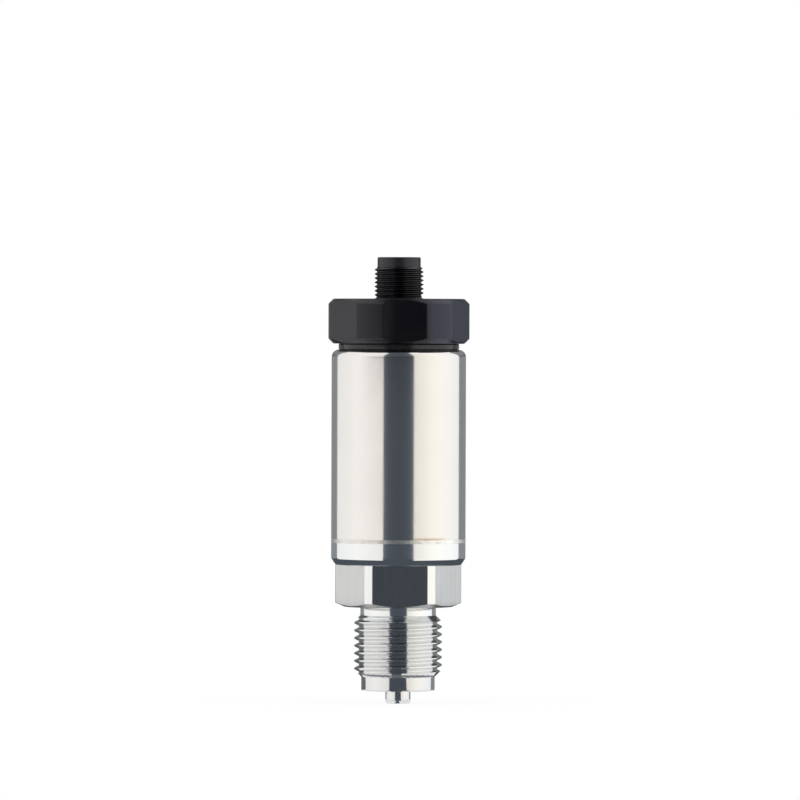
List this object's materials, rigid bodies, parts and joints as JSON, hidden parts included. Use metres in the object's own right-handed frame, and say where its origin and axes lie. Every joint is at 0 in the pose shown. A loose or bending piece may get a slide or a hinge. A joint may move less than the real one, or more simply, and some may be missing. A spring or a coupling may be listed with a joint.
{
  "type": "pressure transmitter",
  "caption": "Screw-in pressure transmitter: steel housing, hexagon and pipe-thread stem below, black hexagon cap with a round plug on top.",
  "frame": {"origin": "centre of the sealing face under the steel hexagon, on the instrument's axis", "axes": "+Z along the axis from the stem towards the plug; the front flat of the steel hexagon faces -Y"},
  "size_m": [0.0336, 0.0326, 0.1062],
  "materials": {
    "turned_steel": "polished",
    "ground_steel": "satin",
    "weld_steel": "satin",
    "black_rubber": "matte",
    "white_ceramic": "matte",
    "pale_plastic": "matte",
    "grey_plastic": "matte",
    "green_laminate": "satin",
    "chip_plastic": "matte",
    "chip_ceramic": "satin",
    "choke_ferrite": "matte",
    "capacitor_resin": "satin",
    "spring_brass": "satin",
    "spring_steel": "satin",
    "clear_film": "satin",
    "socket_plastic": "matte",
    "gold_contact": "polished",
    "black_plastic": "satin"
  },
  "bodies": {
    "root": {"board_carrier": "grey_plastic", "cap_circlip": "spring_steel", "carrier_seal": "black_rubber", "cell_o_ring": "black_rubber", "cell_pin_1": "gold_contact", "cell_pin_2": "gold_contact", "cell_pin_3": "gold_contact", "cell_pin_4": "gold_contact", "cell_thrust_ring": "pale_plastic", "ceramic_cell": "white_ceramic", "chip_resistors": "chip_ceramic", "connector_board": "green_laminate", "contact_carrier": "socket_plastic", "contact_pin_1": "gold_contact", "contact_pin_2": "gold_contact", "contact_pin_3": "gold_contact", "contact_pin_4": "gold_contact", "earth_spring": "spring_brass", "filter_choke_1": "choke_ferrite", "filter_choke_2": "choke_ferrite", "hex_cap": "black_plastic", "housing_tube": "ground_steel", "insulating_sleeve": "clear_film", "main_board": "green_laminate", "memory_chip": "chip_plastic", "neck_seal": "black_rubber", "output_chip": "chip_plastic", "process_connection": "turned_steel", "retaining_ring": "turned_steel", "signal_processor": "chip_plastic", "surge_diode_1": "chip_plastic", "surge_diode_2": "chip_plastic", "tantalum_capacitor_1": "capacitor_resin", "tantalum_capacitor_2": "capacitor_resin", "voltage_regulator": "chip_plastic", "weld_seam": "weld_steel"}
  },
  "joints": []
}
